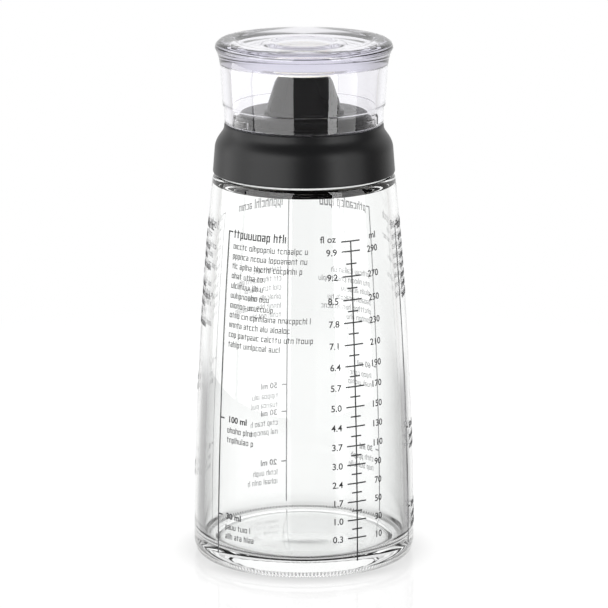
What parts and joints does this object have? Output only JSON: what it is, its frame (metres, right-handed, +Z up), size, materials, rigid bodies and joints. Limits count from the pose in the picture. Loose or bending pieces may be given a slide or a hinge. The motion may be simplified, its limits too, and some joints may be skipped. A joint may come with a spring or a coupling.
{
  "type": "salad dressing shaker",
  "caption": "Round glass shaker bottle with a printed volume scale, a black pouring insert, a screw collar and a clear lid over the spout.",
  "frame": {"origin": "centre of the base, on the plane that the bottle stands on", "axes": "+Z up along the bottle's axis, -Y towards the front, the scale at the front right"},
  "size_m": [0.072, 0.072, 0.169],
  "materials": {
    "bottle_glass": "clear polished glass",
    "lid_plastic": "clear moulded plastic with a faint violet-grey cast",
    "insert_plastic": "fine matte black moulding",
    "collar_plastic": "satin charcoal moulding",
    "seal": "translucent silicone",
    "print": "black screen print"
  },
  "bodies": {
    "bottle": {"glass_bottle": "bottle_glass", "printed_scale": "print", "printed_bracket_1": "print", "printed_bracket_2": "print", "printed_bracket_3": "print", "printed_bracket_4": "print", "printed_bracket_5": "print"},
    "insert": {"pour_insert": "insert_plastic", "neck_seal": "seal"},
    "collar": {"screw_collar": "collar_plastic"},
    "lid": {"clear_lid": "lid_plastic", "lid_seal": "seal"}
  },
  "joints": [
    {"name": "closure_lift", "type": "slide", "parent": "bottle", "child": "insert", "axis": [0, 0, 1], "range_m": [0, 0.008]},
    {"name": "collar_turn", "type": "hinge", "parent": "insert", "child": "collar", "pos_m": [0, 0, 0.134], "axis": [0, 0, 1], "range_deg": [0, 720]},
    {"name": "lid_lift", "type": "slide", "parent": "insert", "child": "lid", "axis": [0, 0, 1], "range_m": [0, 0.025]}
  ],
  "couplings": [
    {"joint": "closure_lift", "follows": "collar_turn", "m_per_rad": 0.00063662}
  ]
}
